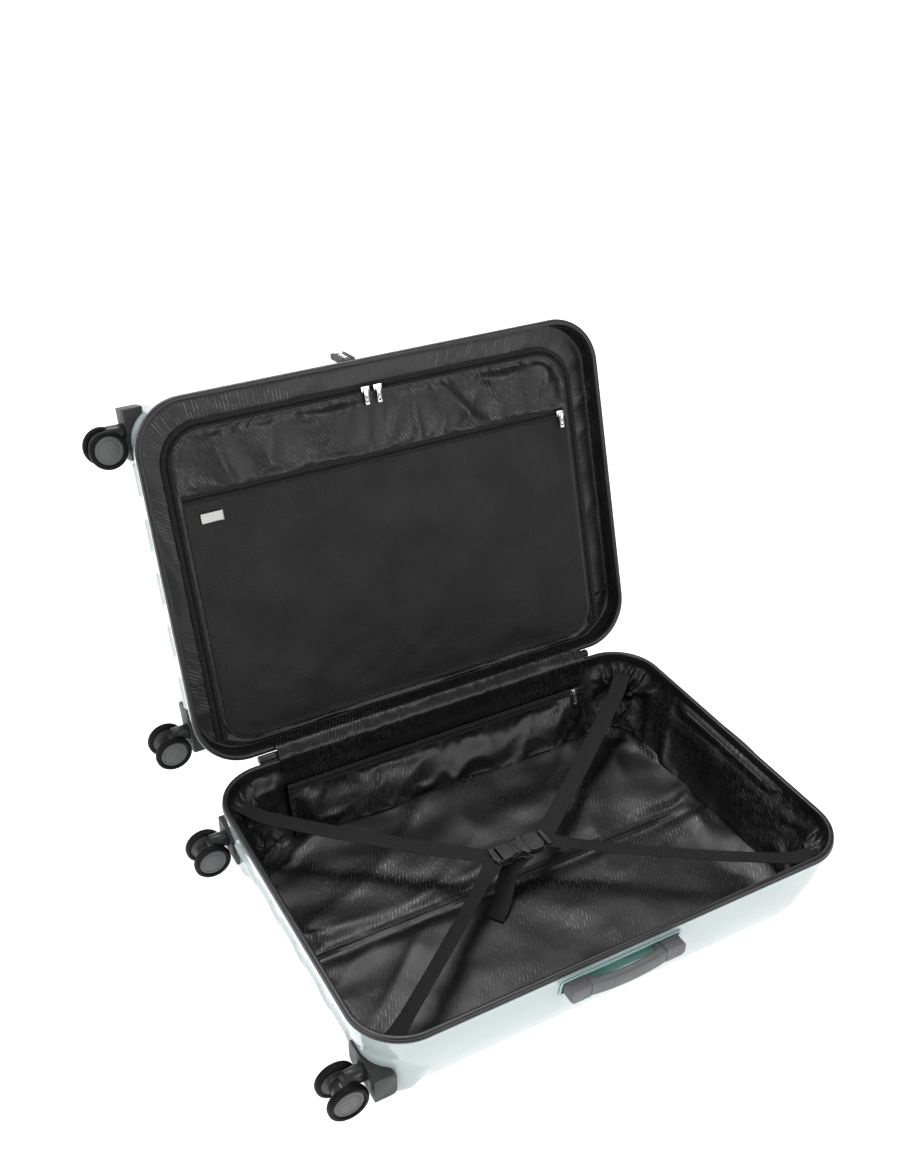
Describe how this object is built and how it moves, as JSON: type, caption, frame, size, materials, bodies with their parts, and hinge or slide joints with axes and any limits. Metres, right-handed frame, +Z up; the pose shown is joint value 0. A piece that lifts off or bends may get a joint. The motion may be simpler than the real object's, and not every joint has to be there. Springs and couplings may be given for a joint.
{
  "type": "hard shell suitcase",
  "caption": "Hard-shell clamshell suitcase on twin-wheel swivel casters, open on its fabric hinge, with zipped divider, packing straps, carry handles and telescopic trolley handle.",
  "frame": {"origin": "centre of the base half's resting ribs, at floor level", "axes": "+X from the wheels to the top carry handle, +Y from the side handle to the hinge, +Z up out of the open base"},
  "size_m": [0.7671, 0.8169, 0.6357],
  "materials": {
    "shell": "smooth gloss moulded polycarbonate",
    "trim": "fine-textured black moulded plastic",
    "rim": "satin black gasket",
    "tray": "sea-green moulded tray",
    "lining": "black satin lining with slanted dash pattern",
    "mesh": "fine black net",
    "zip": "black coil zip tape",
    "webbing": "black flat webbing",
    "label": "plain white sewn label",
    "metal": "polished zinc",
    "tube": "satin anodised tube",
    "fork": "black nylon",
    "wheel": "matt dark grey tread",
    "grip": "dark grey soft-touch plastic"
  },
  "bodies": {
    "base": {"base_shell": "shell", "base_rim": "rim", "base_lining": "lining", "floor_zip": "zip", "wall_pocket": "lining", "wall_pocket_zip": "zip", "left_straps": "webbing", "right_straps": "webbing", "buckle_socket": "trim", "buckle_plug": "trim", "side_handle_tray": "tray", "side_handle_mounts": "grip", "top_handle_mounts": "grip", "trolley_bezel": "trim", "trolley_foot": "trim", "trolley_outer_tubes": "tube", "hinge_fabric": "lining", "caster_3_housing": "trim", "caster_4_housing": "trim"},
    "lid": {"lid_shell": "shell", "lid_rim": "rim", "lid_lining": "lining", "divider_panel": "lining", "divider_zip": "zip", "mesh_pocket": "mesh", "mesh_zip": "zip", "label": "label", "lock_case": "trim", "caster_1_housing": "trim", "caster_2_housing": "trim"},
    "side_grip": {"side_handle_grip": "grip"},
    "top_grip": {"top_handle_grip": "grip"},
    "trolley_middle": {"trolley_middle_tubes": "tube"},
    "trolley_handle": {"trolley_inner_tubes": "tube", "trolley_grip": "grip"},
    "trolley_button": {"trolley_button": "trim"},
    "wall_slider": {"wall_zip_slider": "metal"},
    "wall_puller": {"wall_zip_puller": "metal"},
    "divider_slider_1": {"divider_slider_1": "metal"},
    "divider_puller_1": {"divider_puller_1": "metal"},
    "divider_slider_2": {"divider_slider_2": "metal"},
    "divider_puller_2": {"divider_puller_2": "metal"},
    "mesh_slider": {"mesh_slider": "metal"},
    "mesh_puller": {"mesh_puller": "metal"},
    "lock_button": {"lock_button": "trim"},
    "lock_dial_1": {"lock_dial_1": "metal"},
    "lock_dial_2": {"lock_dial_2": "metal"},
    "lock_dial_3": {"lock_dial_3": "metal"},
    "caster_1": {"caster_1_fork": "fork"},
    "caster_1_wheel_a": {"caster_1_wheel_a": "wheel"},
    "caster_1_wheel_b": {"caster_1_wheel_b": "wheel"},
    "caster_2": {"caster_2_fork": "fork"},
    "caster_2_wheel_a": {"caster_2_wheel_a": "wheel"},
    "caster_2_wheel_b": {"caster_2_wheel_b": "wheel"},
    "caster_3": {"caster_3_fork": "fork"},
    "caster_3_wheel_a": {"caster_3_wheel_a": "wheel"},
    "caster_3_wheel_b": {"caster_3_wheel_b": "wheel"},
    "caster_4": {"caster_4_fork": "fork"},
    "caster_4_wheel_a": {"caster_4_wheel_a": "wheel"},
    "caster_4_wheel_b": {"caster_4_wheel_b": "wheel"}
  },
  "joints": [
    {"name": "lid_hinge", "type": "hinge", "parent": "base", "child": "lid", "pos_m": [0, 0.25916, 0.151], "axis": [-1, 0, 0], "range_deg": [-108.56, 71.44]},
    {"name": "caster_1_swivel", "type": "hinge", "parent": "lid", "child": "caster_1", "pos_m": [-0.343, 0.47881, 0.57584], "axis": [1, 0, 0], "continuous": true},
    {"name": "caster_1_wheel_a_spin", "type": "hinge", "parent": "caster_1", "child": "caster_1_wheel_a", "pos_m": [-0.371, 0.49083, 0.55502], "axis": [0, 0.9659, -0.2588], "continuous": true},
    {"name": "caster_1_wheel_b_spin", "type": "hinge", "parent": "caster_1", "child": "caster_1_wheel_b", "pos_m": [-0.371, 0.45799, 0.56382], "axis": [0, 0.9659, -0.2588], "continuous": true},
    {"name": "caster_2_swivel", "type": "hinge", "parent": "lid", "child": "caster_2", "pos_m": [-0.343, 0.3429, 0.17105], "axis": [1, 0, 0], "continuous": true},
    {"name": "caster_2_wheel_a_spin", "type": "hinge", "parent": "caster_2", "child": "caster_2_wheel_a", "pos_m": [-0.371, 0.3599, 0.15405], "axis": [0, 1, 0], "continuous": true},
    {"name": "caster_2_wheel_b_spin", "type": "hinge", "parent": "caster_2", "child": "caster_2_wheel_b", "pos_m": [-0.371, 0.3259, 0.15405], "axis": [0, 1, 0], "continuous": true},
    {"name": "caster_3_swivel", "type": "hinge", "parent": "base", "child": "caster_3", "pos_m": [-0.343, 0.2135, 0.078], "axis": [1, 0, 0], "continuous": true},
    {"name": "caster_3_wheel_a_spin", "type": "hinge", "parent": "caster_3", "child": "caster_3_wheel_a", "pos_m": [-0.371, 0.2305, 0.061], "axis": [0, 1, 0], "continuous": true},
    {"name": "caster_3_wheel_b_spin", "type": "hinge", "parent": "caster_3", "child": "caster_3_wheel_b", "pos_m": [-0.371, 0.1965, 0.061], "axis": [0, 1, 0], "continuous": true},
    {"name": "caster_4_swivel", "type": "hinge", "parent": "base", "child": "caster_4", "pos_m": [-0.343, -0.2135, 0.078], "axis": [1, 0, 0], "continuous": true},
    {"name": "caster_4_wheel_a_spin", "type": "hinge", "parent": "caster_4", "child": "caster_4_wheel_a", "pos_m": [-0.371, -0.1965, 0.061], "axis": [0, 1, 0], "continuous": true},
    {"name": "caster_4_wheel_b_spin", "type": "hinge", "parent": "caster_4", "child": "caster_4_wheel_b", "pos_m": [-0.371, -0.2305, 0.061], "axis": [0, 1, 0], "continuous": true},
    {"name": "side_grip_pull", "type": "slide", "parent": "base", "child": "side_grip", "axis": [0, -1, 0], "range_m": [0, 0.007], "stiffness_N_per_m": 300, "springref_m": -0.004},
    {"name": "top_grip_pull", "type": "slide", "parent": "base", "child": "top_grip", "axis": [1, 0, 0], "range_m": [0, 0.007], "stiffness_N_per_m": 300, "springref_m": -0.004},
    {"name": "trolley_lower_slide", "type": "slide", "parent": "base", "child": "trolley_middle", "axis": [1, 0, 0], "range_m": [0, 0.19]},
    {"name": "trolley_upper_slide", "type": "slide", "parent": "trolley_middle", "child": "trolley_handle", "axis": [1, 0, 0], "range_m": [0, 0.19]},
    {"name": "trolley_button_press", "type": "slide", "parent": "trolley_handle", "child": "trolley_button", "axis": [-1, 0, 0], "range_m": [0, 0.0025], "stiffness_N_per_m": 400, "springref_m": -0.001},
    {"name": "wall_zip_slide", "type": "slide", "parent": "base", "child": "wall_slider", "axis": [-1, 0, 0], "range_m": [0, 0.45]},
    {"name": "wall_puller_swing", "type": "hinge", "parent": "wall_slider", "child": "wall_puller", "pos_m": [0.233, 0.2297, 0.10916], "axis": [0, -0.9613, 0.2756], "range_deg": [-80, 80]},
    {"name": "divider_zip_slide_1", "type": "slide", "parent": "lid", "child": "divider_slider_1", "axis": [-1, 0, 0], "range_m": [0, 0.24]},
    {"name": "divider_puller_1_swing", "type": "hinge", "parent": "divider_slider_1", "child": "divider_puller_1", "pos_m": [-0.017, 0.42792, 0.58765], "axis": [0, -0.948, 0.3183], "range_deg": [-80, 15]},
    {"name": "divider_zip_slide_2", "type": "slide", "parent": "lid", "child": "divider_slider_2", "axis": [1, 0, 0], "range_m": [0, 0.24]},
    {"name": "divider_puller_2_swing", "type": "hinge", "parent": "divider_slider_2", "child": "divider_puller_2", "pos_m": [0.002, 0.42792, 0.58765], "axis": [0, -0.948, 0.3183], "range_deg": [-15, 80]},
    {"name": "mesh_zip_slide", "type": "slide", "parent": "lid", "child": "mesh_slider", "axis": [-1, 0, 0], "range_m": [0, 0.565]},
    {"name": "mesh_puller_swing", "type": "hinge", "parent": "mesh_slider", "child": "mesh_puller", "pos_m": [0.288, 0.39579, 0.49823], "axis": [0, -0.948, 0.3183], "range_deg": [-80, 80]},
    {"name": "lock_button_press", "type": "slide", "parent": "lid", "child": "lock_button", "axis": [0, -0.1316, -0.9913], "range_m": [0, 0.002], "stiffness_N_per_m": 400, "springref_m": -0.001},
    {"name": "lock_dial_1_turn", "type": "hinge", "parent": "lid", "child": "lock_dial_1", "pos_m": [-0.037, 0.46333, 0.6277], "axis": [0, -0.9913, 0.1316], "continuous": true},
    {"name": "lock_dial_2_turn", "type": "hinge", "parent": "lid", "child": "lock_dial_2", "pos_m": [-0.037, 0.45639, 0.62862], "axis": [0, -0.9913, 0.1316], "continuous": true},
    {"name": "lock_dial_3_turn", "type": "hinge", "parent": "lid", "child": "lock_dial_3", "pos_m": [-0.037, 0.44945, 0.62954], "axis": [0, -0.9913, 0.1316], "continuous": true}
  ]
}
